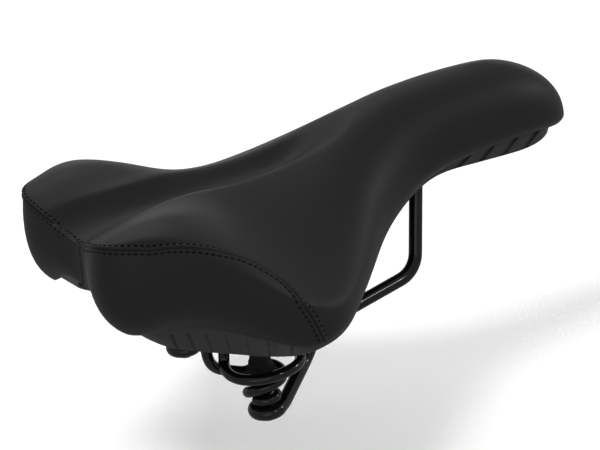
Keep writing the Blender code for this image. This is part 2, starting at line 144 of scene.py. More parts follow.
LOUVRES, LOUVRE_PITCH, LOUVRE_LEAN = 7, 8.2, 6.4
SLOTS, SLOT_PITCH, SLOT_LEAN = 4, 14.4, 13.0
RIB_REACH = {-96: 14, -58: 62, -38: 58, -18: 44, 2: 26, 22: 13}  # half length of each cross rib, by its x
RIB_DEPTH = 4.5
RIB_ROOT, RIB_TIP = 0.95, 0.65  # half thickness

RAIL_RADIUS = 3.5
BOW = (96, 7, 66)
UPRIGHT_TOP = (46.8, 7.5, 61)
CLAMP_FRONT = (29, 22, 4.6)
CLAMP_REAR = (-30, 22, -4.77)
LEG_KNEE = (-41.5, 25.5, -17.5)
FOOT = (-75.6, 45.4, -24.05)
EYE_RADIUS = 6.3
EYE_WRAP = 245

SPRING_WIRE = 2.75
SPRING_EYE_Z = -17.5

# Upper part of the left spring's wire, as (angle, radius, height) about the foot's axis: from the top of the
# cone out to a hairpin that rises and comes down again, then half way round, and up to the far end.
SPRING_ARMS = [
    (298, 11, -6.6), (275, 11.3, -6.9), (256, 11.9, -7), (243, 12.8, -6.1), (231, 15.6, -4.4),
    (219, 20.4, -1.6), (211, 23.2, 2.6), (206, 24.4, 7.5), (204, 24.6, 13), (204, 24.5, 19),
    (204, 24.2, 23.4), (204, 22.7, 26.6), (204, 20.4, 27.7), (204, 18.1, 26.6), (204, 16.6, 23.4),
    (203.5, 16.3, 18), (203, 16.3, 12.5), (203, 16.6, 8), (199, 17.2, 5), (189, 17.7, 3.6),
    (177, 18.1, 2.7), (163, 18.6, 2.2), (147, 19, 1.9), (131, 19, 1.7), (115, 19, 1.6),
    (95, 19.2, 1.7), (75, 19.6, 1.7), (53, 19.9, 1.3), (34, 19.9, 1.1), (19, 19.8, 2),
    (6, 19.5, 4.6), (-4, 19, 8.8), (-10, 18.6, 13.5), (-14, 18.2, 19.5), (-15, 18, 27),
]
CARRIER_LOW = 24.5
BUMP_STOP_END = -3.4

# ---------------------------------------------------------------- materials


def nodes_of(name):
    made = bpy.data.materials.new(name)
    made.use_nodes = True
    tree = made.node_tree
    return made, tree, tree.nodes["Principled BSDF"]


def link(tree, source, target):
    tree.links.new(source, target)


def fix(node, values):
    """Gives inputs of a node their fixed values, by name."""
    for name, value in values.items():
        node.inputs[name].default_value = value


def grey(value):
    return (value, value, value, 1)


def texture(tree, kind, scale, **inputs):
    """Value of a procedural texture, Noise, Voronoi or Wave, in object space, where 1 unit is a metre."""
    made = tree.nodes.new(f"ShaderNodeTex{kind}")
    place = tree.nodes.new("ShaderNodeTexCoord")
    link(tree, place.outputs["Object"], made.inputs["Vector"])
    fix(made, {"Scale": scale, **inputs})
    return made.outputs["Distance" if kind == "Voronoi" else "Fac"]


def feed(tree, shader, name, value, *stops):
    """Drives an input of the shader by a texture's value, through a ramp of two (place, colour) stops."""
    made = tree.nodes.new("ShaderNodeValToRGB")
    for element, (place, colour) in zip(made.color_ramp.elements, stops):
        element.position = place
        element.color = colour if len(colour) == 4 else (*colour, 1)
    link(tree, value, made.inputs["Fac"])
    link(tree, made.outputs["Color"], shader.inputs[name])


def relief(tree, shader, *layers):
    """Fine relief from layers of (texture value, strength, distance in metres), each on the one before."""
    below = None
    for value, strength, distance in layers:
        made = tree.nodes.new("ShaderNodeBump")
        fix(made, {"Strength": strength, "Distance": distance})
        link(tree, value, made.inputs["Height"])
        if below is not None:
            link(tree, below, made.inputs["Normal"])
        below = made.outputs["Normal"]
    link(tree, below, shader.inputs["Normal"])


def cover_leather():
    """Moulded synthetic leather: fine pebble grain, slight cloudiness, a soft bloom at grazing angles."""
    made, tree, shader = nodes_of("cover_leather")
    cloud = texture(tree, "Noise", 22, Detail=3.0, Roughness=0.55)
    feed(tree, shader, "Base Color", cloud, (0.3, (0.0125, 0.0125, 0.0132)), (0.72, (0.0165, 0.0165, 0.017)))
    feed(tree, shader, "Roughness", cloud, (0.25, grey(0.5)), (0.75, grey(0.58)))
    pebble = texture(tree, "Voronoi", 1500, Randomness=1.0)
    fine = texture(tree, "Noise", 4200, Detail=2.0)
    relief(tree, shader, (pebble, 0.22, 0.00012), (fine, 0.12, 0.00006))
    fix(shader, {"Specular IOR Level": 0.38, "Sheen Weight": 0.06, "Sheen Roughness": 0.4})
    return made


def moulded_plastic(name, low, high, roughness):
    """Spark-eroded moulded plastic: fine even texture with faint flow marks."""
    made, tree, shader = nodes_of(name)
    flow = texture(tree, "Noise", 45, Detail=4.0, Distortion=0.6)
    feed(tree, shader, "Base Color", flow, (0.3, low), (0.7, high))
    feed(tree, shader, "Roughness", flow, (0.2, grey(roughness - 0.05)), (0.8, grey(roughness + 0.05)))
    relief(tree, shader, (texture(tree, "Noise", 2600, Detail=2.0), 0.2, 0.00006))
    return made


def powder_coat():
    """Gloss black powder coat with a slight orange peel."""
    made, tree, shader = nodes_of("wire_powder_coat")
    cloud = texture(tree, "Noise", 120, Detail=2.0)
    feed(tree, shader, "Base Color", cloud, (0.3, (0.004, 0.004, 0.0045)), (0.7, (0.0065, 0.0065, 0.007)))
    feed(tree, shader, "Roughness", cloud, (0.3, grey(0.1)), (0.7, grey(0.15)))
    relief(tree, shader, (texture(tree, "Noise", 650, Detail=1.0), 0.05, 0.00012))
    return made


def moulded_rubber():
    """Dull moulded rubber with a little dust on it."""
    made, tree, shader = nodes_of("bump_rubber")
    dust = texture(tree, "Noise", 260, Detail=5.0, Roughness=0.7)
    feed(tree, shader, "Base Color", dust, (0.35, grey(0.007)), (0.75, grey(0.016)))
    relief(tree, shader, (texture(tree, "Noise", 1800, Detail=3.0), 0.35, 0.0001))
    fix(shader, {"Roughness": 0.72, "Specular IOR Level": 0.3})
    return made


def zinc_plate():
    """Zinc-plated steel, slightly dull and uneven."""
    made, tree, shader = nodes_of("zinc_plate")
    cloud = texture(tree, "Noise", 320, Detail=4.0)
    feed(tree, shader, "Base Color", cloud, (0.3, (0.32, 0.325, 0.34)), (0.7, (0.46, 0.465, 0.47)))
    feed(tree, shader, "Roughness", cloud, (0.3, grey(0.3)), (0.7, grey(0.45)))
    relief(tree, shader, (texture(tree, "Noise", 1500, Detail=3.0, Distortion=1.0), 0.12, 0.00005))
    fix(shader, {"Metallic": 1.0})
    return made


def black_steel():
    """Blackened fastener steel: dark, satin and slightly uneven."""
    made, tree, shader = nodes_of("black_steel")
    cloud = texture(tree, "Noise", 400, Detail=4.0)
    feed(tree, shader, "Base Color", cloud, (0.4, (0.012, 0.012, 0.013)), (0.8, (0.035, 0.035, 0.036)))
    feed(tree, shader, "Roughness", cloud, (0.3, grey(0.32)), (0.7, grey(0.42)))
    relief(tree, shader, (texture(tree, "Noise", 1400, Detail=2.0), 0.15, 0.00006))
    return made


def open_foam():
    """Moulded polyurethane foam with small open cells, sunk as pits in its bump relief and painted darker as
    shade.
    """
    made, tree, shader = nodes_of("moulded_foam")
    pore_pits_and_shade = texture(tree, "Voronoi", 1100, Randomness=1.0)
    # Painted shade: the pore centres are painted darker, as if shaded inside; the same pattern sinks them as
    # pits in the bump.
    feed(tree, shader, "Base Color", pore_pits_and_shade, (0.0, (0.03, 0.03, 0.032)), (0.5, (0.09, 0.09, 0.095)))
    relief(tree, shader, (pore_pits_and_shade, 0.6, 0.0003))
    fix(shader, {"Roughness": 0.92})
    return made


def sewing_thread():
    """Bonded polyester thread: twisted strands with a low shine, the grooves between them painted darker as
    shade.
    """
    made, tree, shader = nodes_of("sewing_thread")
    strand_twist_and_shade = texture(tree, "Wave", 1400, Distortion=0.4)
    # Painted shade: the grooves between the strands are painted darker; the same waves give the strands their
    # bump.
    feed(tree, shader, "Base Color", strand_twist_and_shade, (0.2, (0.0025, 0.0025, 0.003)), (0.8, (0.006, 0.006, 0.0065)))
    relief(tree, shader, (strand_twist_and_shade, 0.5, 0.00008))
    fix(shader, {"Roughness": 0.85, "Specular IOR Level": 0.12})
    return made


LEATHER = cover_leather()
PAN_PLASTIC = moulded_plastic("pan_polypropylene", (0.04, 0.04, 0.0415), (0.05, 0.05, 0.0515), 0.4)
DARK_PLASTIC = moulded_plastic("carrier_nylon", (0.009, 0.009, 0.0095), (0.014, 0.014, 0.0145), 0.5)
POWDER = powder_coat()
RUBBER = moulded_rubber()
ZINC = zinc_plate()
BLACK_STEEL = black_steel()
FOAM = open_foam()
THREAD = sewing_thread()


# ---------------------------------------------------------------- making pieces


def add(name, mesh, finish, body, slot, *replaced, smooth_angle=50):
    """Puts a mesh in the scene as a piece of the object that moves with a body."""
    mesh.materials.clear()
    mesh.materials.append(finish)
    mesh.shade_smooth()
    mesh.set_sharp_from_angle(angle=math.radians(smooth_angle))
    made = bpy.data.objects.new(name, mesh)
    bpy.context.scene.collection.objects.link(made)
    if body:
        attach(made, body)
    if replaced:
        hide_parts(*replaced)
    return made


def mesh_from(name, points, faces):
    mesh = bpy.data.meshes.new(name)
    mesh.from_pydata((np.asarray(points, float) * MM).tolist(), [], faces)
    mesh.update()
    return mesh


def closed_mesh(name, points, faces, merge=0):
    """Closed mesh with all its faces turned outward. Points closer than merge, in metres, become one."""
    mesh = mesh_from(name, points, faces)
    build = bmesh.new()
    build.from_mesh(mesh)
    if merge:
        bmesh.ops.remove_doubles(build, verts=build.verts, dist=merge)
    bmesh.ops.recalc_face_normals(build, faces=build.faces)
    build.to_mesh(mesh)
    build.free()
    return mesh


def grid_faces(rows, columns, wrap=False):
    """Faces of a grid of points that are stored row by row. wrap joins the last column to the first."""
    faces = []
    reach = columns if wrap else columns - 1
    for i in range(rows - 1):
        here, below = i * columns, (i + 1) * columns
        for j in range(reach):
            after = (j + 1) % columns
            faces.append((here + j, below + j, below + after, here + after))
    return faces


def sleeve_faces(rings, sides):
    """Faces of a sleeve whose rings of points are stored one after another, with a face across each end."""
    last = (rings - 1) * sides
    ends = [tuple(range(sides)), tuple(range(last, last + sides))[::-1]]
    return grid_faces(rings, sides, wrap=True) + ends


def unit(v):
    return v / (np.linalg.norm(v, axis=-1, keepdims=True) + 1e-12)


def lengths_of(line):
    """Length along a line at each of its points."""
    return np.concatenate([[0], np.cumsum(np.linalg.norm(np.diff(line, axis=0), axis=1))])


def at_lengths(wanted, length, line):
    """Points at the wanted lengths along a line; length holds the length at each of its points."""
    return np.stack([np.interp(wanted, length, line[:, axis]) for axis in range(3)], -1)


def both_halves(half):
    """Points and faces of a half grid and its mirror image, joined where the half touches the plane y = 0."""
    count = half.shape[0] * half.shape[1]
    flat = half.reshape(-1, 3).copy()
    on_plane = np.abs(flat[:, 1]) < 1e-6
    flat[on_plane, 1] = 0
    mirror_index = np.arange(count)
    others = np.flatnonzero(~on_plane)
    mirror_index[others] = count + np.arange(len(others))
    points = np.vstack([flat, flat[others] * (1, -1, 1)])
    faces = grid_faces(*half.shape[:2])
    faces += [tuple(int(mirror_index[v]) for v in face[::-1]) for face in faces]
    return points, faces


def point_normals(points, faces):
    """Unit normals at the points of a mesh of quads, each from all the faces that meet there."""
    quads = np.array(faces)
    a, b, c, d = (points[quads[:, k]] for k in range(4))
    flat = np.cross(c - a, d - b)
    total = np.zeros_like(points)
    for k in range(4):
        np.add.at(total, quads[:, k], flat)
    return unit(total)


def grid_normals(half):
    """Outward unit normals of a half grid, smooth across the plane of symmetry."""
    points, faces = both_halves(half)
    return point_normals(points, faces)[: half.shape[0] * half.shape[1]].reshape(half.shape)


def keep_on_plane(grid, closed=True):
    """Puts a half grid's end rows and first column on the plane y = 0, and its last one if it is closed."""
    grid[0, :, 1] = 0
    grid[-1, :, 1] = 0
    grid[:, 0, 1] = 0
    if closed:
        grid[:, -1, 1] = 0
    return grid


# ---------------------------------------------------------------- seat-top surface


def smooth(t):
    t = np.clip(t, 0.0, 1.0)
    return t * t * (3 - 2 * t)


def through(values, t):
    """Catmull-Rom spline through evenly spaced values, at points t inside their range."""
    last = len(values) - 1
    start = np.clip(np.floor(t).astype(int), 0, last - 1)
    part = t - start
    padded = np.concatenate([[2 * values[0] - values[1]], values, [2 * values[-1] - values[-2]]])
    a, b, c, d = (padded[start + k] for k in range(4))
    return b + 0.5 * part * (c - a + part * (2 * a - 5 * b + 4 * c - d + part * (3 * (b - c) + d - a)))


def mirrored_rows(values, odd):
    """Values of the whole outline, from the nose round one side to the notch and back round the other."""
    sign = -1 if odd else 1
    values = np.array(values, float)
    return np.concatenate([sign * values[:0:-1], values, sign * values[-2::-1]])


def softened(values, t, odd=False):
    """Spline through the stations' values, averaged over a short stretch so that its curvature is even."""
    rows = mirrored_rows(values, odd)
    steps = SOFTEN_STEP * np.arange(-5, 6)
    weights = np.exp(-((steps / SOFTEN_REACH) ** 2))
    return sum(w * through(rows, t + step + LAST) for step, w in zip(steps, weights)) / weights.sum()


def outline(which, t):
    t = np.atleast_1d(np.asarray(t, float))
    rows = [s[which] for s in STATIONS]
    return np.stack([softened([r[axis] for r in rows], t, axis == 1) for axis in range(3)], -1)


def outward(which, t):
    t = np.atleast_1d(np.asarray(t, float))
    along = outline(which, t + 0.02) - outline(which, t - 0.02)
    away = np.stack([-along[:, 1], along[:, 0], np.zeros(len(t))], -1)
    return away / np.linalg.norm(away, axis=1, keepdims=True)


def spine_x(t):
    return softened([s[0] for s in STATIONS], np.atleast_1d(t))


def fullness_at(t):
    return softened([s[4] for s in STATIONS], np.atleast_1d(t))


def smooth_crest(x):
    """Height of the crest at x, averaged over a short stretch."""
    steps = np.linspace(-CREST_BLEND, CREST_BLEND, 13)
    weights = np.cos(steps / CREST_BLEND * math.pi / 2) ** 2
    xs, zs = zip(*CREST)
    return sum(w * np.interp(x + s, xs, zs) for s, w in zip(steps, weights)) / weights.sum()


def channel_half_width(x):
    """Half width of the channel. It widens to the rear, and its front end is rounded."""
    width = CHANNEL_HALF_WIDTH + CHANNEL_SPREAD * smooth((-x - 40) / 90)
    width = width + CHANNEL_MOUTH * smooth((-x - 98) / 48)
    ahead = np.clip((x - CHANNEL_END_X + CHANNEL_ROUND) / CHANNEL_ROUND, 0, 0.995)
    return width * np.sqrt(1 - ahead**2)


def channel_dip(x, side):
    """Depth of the channel's floor below the crest. Its edge is a soft crease."""
    share = side / channel_half_width(x)
    bowl = 1 - share**2
    crease = 0.5 * (bowl + np.sqrt(bowl**2 + 0.02))
    soft = 1 - smooth(share)
    depth = CHANNEL_DEPTH * smooth((CHANNEL_END_X + 2 - x) / 52) ** 0.9
    return depth * (0.8 * crease + 0.2 * soft)


def top_height(x, y):
    side = np.abs(y)
    flare = WING_FLARE * smooth((side - 14) / 34) * smooth((-66 - x) / 60)
    return smooth_crest(x) + flare - channel_dip(x, side)


def cover_points(t, u, inset=0.0):
    """Points of the cover for arrays t (stations) and u of shape (stations, rows).

    u goes from 0 on the spine over the top to 1 on the shoulder, and on down the side to 2 on the rim.
    """
    shoulder = outline(SHOULDER, t) - inset * outward(SHOULDER, t)
    rim = outline(RIM, t) - inset * outward(RIM, t)
    out = outward(SHOULDER, t)
    bulge = SIDE_BULGE + REAR_BULGE * smooth(t / 2) * (1 - smooth((t - 2) / 4))
    bend = shoulder + bulge[:, None] * out
    bend[:, 2] = rim[:, 2] + BEND_HEIGHT * (shoulder[:, 2] - rim[:, 2])
    start, full = spine_x(t)[:, None], fullness_at(t)[:, None]
    over = np.minimum(u, 1)
    x = start + (shoulder[:, :1] - start) * over
    y = shoulder[:, 1:2] * over
    drop = np.maximum(0, 1 - over**full) ** (1 / full)
    level = shoulder[:, 2:3]
    top = np.stack([x, y, level + (top_height(x, y) - inset - level) * drop], -1)
    share = np.clip(u - 1, 0, 1)[..., None]
    side = (1 - share) ** 2 * shoulder[:, None] + 2 * share * (1 - share) * bend[:, None]
    side = side + share**2 * rim[:, None]
    return np.where((u <= 1)[..., None], top, side)


def seam_at(t):
    """Row u in which the seam lies at station t."""
    t = np.atleast_1d(np.asarray(t, float))
    inward = SEAM_INSET * smooth((t - SEAM_LEAVES) / SEAM_RAMP) ** 2
    down = np.clip((t - SEAM_DROPS) / (SEAM_ENDS - SEAM_DROPS), 0, 1)
    return 1 - inward + (1 + inward) * down**5


def even_rows(t, first, last, count, near=()):
    """Grid of cover points: count rows evenly spaced by length from u first to u last, at each station.

    near holds distances from the last row at which extra rows lie.
    """
    first, last = first[:, None], last[:, None]
    w = np.linspace(0, 1, 700)
    over_top = first + (last - first) * (1 - (1 - w) ** 3)
    down_side = first + (last - first) * w
    turn = 0.62  # share of the samples before the shoulder, on a line that crosses it
    rising = np.maximum(np.minimum(last, 1) - first, 0) * (1 - (1 - np.clip(w / turn, 0, 1)) ** 3)
    falling = (last - np.maximum(first, 1)) * np.clip((w - turn) / (1 - turn), 0, 1)
    across = first + rising + falling
    line = cover_points(t, np.where(last <= 1, over_top, np.where(first < 1, across, down_side)))
    rows = []
    for points in line:
        length = lengths_of(points)
        full = length[-1]
        edge = np.array(near) * min(1, 0.6 * full / max(near)) if near else np.array([0.0])
        wanted = np.concatenate([np.linspace(0, full - edge.max(), count), full - np.sort(edge)[::-1][1:]])
        rows.append(at_lengths(wanted, length, points))
    return np.array(rows)


def folded_edge(outer, normal, rim_share):
    """Rows that turn a sheet's last row under: a rolled hem where rim_share is 1, a plain edge where it is 0.
    """
    end, away = outer[:, -1], normal[:, -1]
    down = unit(outer[:, -1] - outer[:, -2])
    share = rim_share[:, None]
    radius = EDGE_RADIUS + (HEM_RADIUS - EDGE_RADIUS) * share
    most = 90 + 90 * share
    rows = []
    for k in range(1, 7):
        angle = np.radians(most * k / 6)
        rows.append(end + radius * (np.sin(angle) * down - (1 - np.cos(angle)) * away))
    tail = rows[-1] - HEM_TAIL * share * down - (1 - share) * (SKIN - EDGE_RADIUS) * away
    step = tail + share * (2 * HEM_RADIUS - SKIN) * away
    return np.stack(rows + [tail, step], 1)


def make_cover_top():
    """Moulded top panel, with its thickness and its rolled hem along the rim."""
    t = np.concatenate([
        [0, 0.03, 0.07, 0.12],
        np.arange(0.2, CLOSE_FROM, STATION_STEP),
        np.arange(CLOSE_FROM, CLOSE_TO, 0.03),
        np.arange(CLOSE_TO + 0.04, LAST, STATION_STEP),
        [LAST],
    ])
    base = even_rows(t, np.zeros(len(t)), seam_at(t), 46, near=(0, 0.3, 0.7, 1.2, 2.0))
    base = keep_on_plane(base, closed=False)
    normal = grid_normals(base)
    rim_share = smooth((t - SEAM_ENDS + 0.03) / 0.15)
    inner = (base - SKIN * normal)[:, :-6][:, ::-2]
    inner = np.concatenate([inner[:, :-1], (base - SKIN * normal)[:, :1]], 1)
    section = np.concatenate([base, folded_edge(base, normal, rim_share), inner], 1)
    points, faces = both_halves(keep_on_plane(section))
    mesh = closed_mesh("seat_cover", points, faces)
    made = add("seat_cover", mesh, LEATHER, "seat", "cover", "cover_top", smooth_angle=70)


def make_rear_panels():
    """Two side panels below the seam, with a crease where they meet in the notch."""
    t = np.concatenate([
        [0, 0.012, 0.025, 0.04, 0.06, 0.09, 0.13],
        np.arange(0.2, CLOSE_FROM, STATION_STEP),
        np.arange(CLOSE_FROM, SEAM_ENDS - 0.04, 0.04),
    ])
    base = even_rows(t, seam_at(t), np.full(len(t), 2.0), 40)
    base[0, :, 1] = 0
    normal = unit(np.cross(np.gradient(base, axis=0), np.gradient(base, axis=1)))
    normal *= -np.sign(normal[2, 20, 0])  # beside the notch, outward is to the rear
    normal[0, :, 1] = 0
    normal = unit(normal)
    crease = -0.5 * np.exp(-((base[:, :, 1] / 0.7) ** 2))
    outer = base + crease[..., None] * normal
    outer[:, :, 1] = np.maximum(outer[:, :, 1], 0.06)
    hem = folded_edge(outer, normal, np.ones(len(t)))
    inner = (outer - SKIN * normal)[:, 2:-3][:, ::-3]
    section = np.concatenate([outer, hem, inner], 1)
    faces = sleeve_faces(*section.shape[:2])
    for side, label in ((1, "left"), (-1, "right")):
        points = section.reshape(-1, 3) * (1, side, 1)
        mesh = closed_mesh(f"rear_panel_{label}", points, faces)
        add(f"rear_panel_{label}", mesh, LEATHER, "seat", "cover", f"cover_rear_{label}", smooth_angle=70)


def surface_tree():
    """Search tree of the cover's surface past the seam's ends, both sides, with normals at its points."""
    t = np.linspace(0, 9.5, 330)
    grid = even_rows(t, np.zeros(len(t)), np.full(len(t), 2.0), 170)
    points, faces = both_halves(keep_on_plane(grid, closed=False))
    tree = BVHTree.FromPolygons([Vector(p) for p in points], faces)
    return tree, np.array(faces), points, point_normals(points, faces)


def evenly_averaged(rows, reach):
    """Each row averaged with its neighbours up to reach rows away, the nearer ones counting more."""
    weights = np.hanning(2 * reach + 3)[1:-1]
    padded = np.concatenate([rows[:1]] * reach + [rows] + [rows[-1:]] * reach)
    return sum(w * padded[k : k + len(rows)] for k, w in enumerate(weights)) / weights.sum()


def seam_line():
    """Evenly spaced points along the whole seam, from its right end over the notch to its left end."""
    t = np.concatenate([np.linspace(0, SEAM_DROPS, 500), np.linspace(SEAM_DROPS, SEAM_ENDS, 260)[1:]])
    left = cover_points(t, seam_at(t)[:, None])[:, 0]
    whole = np.concatenate([(left * (1, -1, 1))[:0:-1], left])
    length = lengths_of(whole)
    spacing = 0.5
    line = at_lengths(np.linspace(0, length[-1], int(length[-1] / spacing)), length, whole)
    smoothed = evenly_averaged(line, 4)
    smoothed[0], smoothed[-1] = line[0], line[-1]
    return smoothed


def on_surface(tree, quads, points, normals, place):
    """Nearest point of the surface, with its smooth normal."""
    spot, _, index, _ = tree.find_nearest(Vector(place))
    corners = quads[index]
    away = np.linalg.norm(points[corners] - np.array(spot), axis=1)
    weight = 1 / (away + 0.05)
    return np.array(spot), unit((normals[corners] * weight[:, None]).sum(0))


def band_height(p, along):
    """Height of the sewn band over the cover at distance p from the seam and a length along it.

    Two soft folds meet in a crease; each stitch pulls a pit into the outer edge of its fold.
    """
    share = np.minimum(np.abs(p) / BAND_HALF_WIDTH, 1)
    fold = FOLD_HEIGHT * np.sin(np.pi * np.minimum(np.abs(p) / FOLD_WIDTH, 1)) ** 0.8
    body = 0.2 * (1 - share**5) - 0.12 + fold
    crease = CREASE_DEPTH * np.exp(-((p / CREASE_WIDTH) ** 2))
    phase = np.cos(2 * math.pi * along / STITCH_PITCH)
    pit = 0.5 * PIT_DEPTH * (1 + phase) * np.exp(-(((np.abs(p) - STITCH_OFFSET) / PIT_WIDTH) ** 2))
    return body - crease - pit


def make_seam():
    """Folded seam between top and side panels, laid on the cover's surface, and its stitches."""
    surface = surface_tree()
    line = seam_line()
    tangent = unit(np.gradient(line, axis=0))
    length = lengths_of(line)
    start = length[-1] / 2 % STITCH_PITCH
    inner_rows = [0, 0.12, 0.25, 0.4, 0.7, 1.1, 1.45, 1.7, 1.85, 1.98]
    across = np.array([*inner_rows, STITCH_OFFSET, 2.22, 2.35, 2.5, 2.65, 2.8])
    across = np.concatenate([-across[:0:-1], across])
    spots, normals = (np.array(found) for found in zip(*(on_surface(*surface, point) for point in line)))
    normals = unit(evenly_averaged(normals, 9))
    rows = []
    stitch_rows = {-1: [], 1: []}
    for spot, normal, along, place_on in zip(spots, normals, tangent, length - start):
        sideways = unit(np.cross(along, normal))
        heights = band_height(across, place_on)
        section = []
        for p, height in zip(across, heights):
            place, away = on_surface(*surface, spot + p * sideways)
            away = unit(0.5 * away + normal)
            section.append(place + height * away)
            if abs(abs(p) - STITCH_OFFSET) < 1e-6:
                stitch_rows[int(np.sign(p))].append((section[-1], away))
        rows.append(section + [section[-1] - 0.5 * normal, section[0] - 0.5 * normal])
    rings = np.array(rows)
    mesh = closed_mesh("seam_band", rings.reshape(-1, 3), sleeve_faces(*rings.shape[:2]))
    add("seam_band", mesh, LEATHER, "seat", "cover", smooth_angle=80)
    make_stitches(stitch_rows, length, start)


def capsule(centre, along, up, length, radius, sides=8):
    """Points and faces of one stitch: a thread that dives into the cover at both ends."""
    out = np.cross(along, up)
    points = []
    stops = (-1, -0.85, -0.6, -0.2, 0.2, 0.6, 0.85, 1)
    for s in stops:
        swell = radius * max(0.35, 1 - abs(s) ** 6)
        sink = THREAD_DIVE * abs(s) ** 3
        for j in range(sides):
            angle = 2 * math.pi * j / sides
            ring = swell * (math.cos(angle) * out + math.sin(angle) * up)
            points.append(centre + along * s * length / 2 - up * sink + ring)
    return points, sleeve_faces(len(stops), sides)


def make_stitches(rows, length, start):
    points, faces = [], []
    for entries in rows.values():
        line = np.array([e[0] for e in entries])
        ups = np.array([e[1] for e in entries])
        for at in np.arange(start + STITCH_PITCH, length[-1] - STITCH_PITCH, STITCH_PITCH):
            behind, middle, ahead = (at_lengths(at + step, length, line) for step in (-1.1, 0, 1.1))
            along = unit(ahead - behind)
            up = unit(at_lengths(at, length, ups))
            up = unit(up - along * up.dot(along))
            some, quads = capsule(middle + THREAD_LIFT * up, along, up, STITCH_LENGTH, THREAD_RADIUS)
            faces += [tuple(v + len(points) for v in quad) for quad in quads]
            points += some
    mesh = closed_mesh("stitching", points, faces)
    add("stitching", mesh, THREAD, "seat", "cover")


def make_foam():
    """Foam body that fills the cover, down to the pan."""
    t = np.linspace(0, LAST, 150)
    end = 1.6  # row u at which the foam leaves the cover's side
    share = np.linspace(0, 1, 34)
    u = np.where(share < 0.8, np.sin(share / 0.8 * math.pi / 2), 1 + (share - 0.8) / 0.2 * (end - 1))
    inset = 4.5 - 1.5 * smooth((u - 1) / 0.4)
    upper = np.stack([cover_points(t, np.full((len(t), 1), v), i)[:, 0] for v, i in zip(u, inset)], 1)
    lower = pan_points(t, np.array([0.95, 0.9, 0.83, 0.75, 0.62, 0.48, 0.32, 0.16, 0.0]), lift=1.8)
    section = keep_on_plane(np.concatenate([upper, lower], 1))
    points, faces = both_halves(section)
    mesh = closed_mesh("foam_body", points, faces)
    made = add("foam_body", mesh, FOAM, "seat", "foam", "foam_pad", smooth_angle=70)


# ---------------------------------------------------------------- moulded pan


def pan_points(t, v, lift=0.0):
    """Points of the pan's outer face for stations t and rows v, as in the solid model."""
    rim = outline(RIM, t) - (PAN_INSET - 0.5 * lift) * outward(RIM, t)
    rim[:, 2] += 1
    start = spine_x(t)
    edge = outline(PAN_EDGE, t)
    rows = []
    for share in v:
        if share <= 1:
            x = start + (rim[:, 0] - start) * share
            y = rim[:, 1] * share
            crown = PAN_CROWN_REAR + (PAN_CROWN_NOSE - PAN_CROWN_REAR) * smooth((x + 60) / 120)
            z = rim[:, 2] + lift + (crown - rim[:, 2]) * (1 - share**2.4) ** (1 / 2.4)
            rows.append(np.stack([x, y, z], -1))
        else:
            rows.append(rim + (edge - rim) * (share - 1))
    return np.stack(rows, 1)


def louvre_depth(place, down):
    """Depth of the moulded louvres on the skirt at a length along its edge and a share of the way down it.

    The rear ones are steps that fade out like fish scales, the nose ones are slanted slots.
    """
    step = 0
    for k in range(LOUVRES):
        lean = LOUVRE_LEAN * 0.6**k * (1 - down)
        reach = place - FLANK_LOUVRES[0] - LOUVRE_PITCH * k - 0.25 * k * k - lean
        scale = 0.55 * smooth(reach / 0.3) * (1 - smooth((reach - 0.5) / 5.5))
        slit = 0.95 * np.exp(-((reach / 0.42) ** 2))
        step = np.maximum(step, (1 - 0.06 * k) * (scale + slit))
    step = step * smooth((down - 0.3) / 0.08)
    slot = 0
    for k in range(SLOTS):
        reach = place - NOSE_LOUVRES - SLOT_PITCH * k - SLOT_LEAN * (1 - down)
        slot = np.maximum(slot, 1.4 * smooth((reach + 2.4) / 0.9) * (1 - smooth((reach - 1.5) / 0.9)))
    return step + slot * smooth((down - 0.1) / 0.15)


# Lengths along the pan's edge, and those at which the louvres start and end.
FINE_T = np.linspace(0, LAST, 1600)
EDGE_LENGTH = lengths_of(outline(PAN_EDGE, FINE_T))
FLANK_LOUVRES = (np.interp(3.34, FINE_T, EDGE_LENGTH), np.interp(6.7, FINE_T, EDGE_LENGTH))
NOSE_LOUVRES = np.interp(12.45, FINE_T, EDGE_LENGTH)


def make_pan():
    """Pan with its crown, its louvred skirt and its thickness. Returns a search tree of its surface."""
    zones = [(FLANK_LOUVRES[0] - 9, FLANK_LOUVRES[1] + 8), (NOSE_LOUVRES - 4, EDGE_LENGTH[-1] - 8)]
    marks = [0, *zones[0], *zones[1], EDGE_LENGTH[-1]]
    spacing = [1.6, 0.3, 1.6, 0.4, 0.8]
    wanted = np.concatenate([
        np.linspace(low, high, int((high - low) / gap), endpoint=False)
        for low, high, gap in zip(marks, marks[1:], spacing)
    ] + [[EDGE_LENGTH[-1]]])
    t = np.interp(wanted, EDGE_LENGTH, FINE_T)
    t[0], t[-1] = 0, LAST
    top = 1 - (1 - np.linspace(0, 1, 20)) ** 1.8
    v = np.concatenate([top, np.linspace(1, 2, 25)[1:]])
    base = keep_on_plane(pan_points(t, v), closed=False)
    normal = grid_normals(base)
    down = np.clip(v - 1, 0, 1)[None, :]
    cut = louvre_depth(wanted[:, None], down) * (v[None, :] > 1)
    outer = base - cut[..., None] * normal
    lip = ((0.35, 0.3), (1.1, 0.45), (1.85, 0.3))  # inward and downward, round the lower edge
    end, below = base[:, -1], unit(base[:, -1] - base[:, -2])
    turn = np.stack([end - inward * normal[:, -1] + low * below for inward, low in lip], 1)
    inner = (base - PAN_WALL * normal)[:, ::-1]
    section = keep_on_plane(np.concatenate([outer, turn, inner], 1))
    points, faces = both_halves(section)
    mesh = closed_mesh("pan_shell", points, faces)
    add("pan_shell", mesh, PAN_PLASTIC, "seat", "pan_plastic", "base_pan", smooth_angle=35)
    return BVHTree.FromPolygons([Vector(p) for p in points], faces)


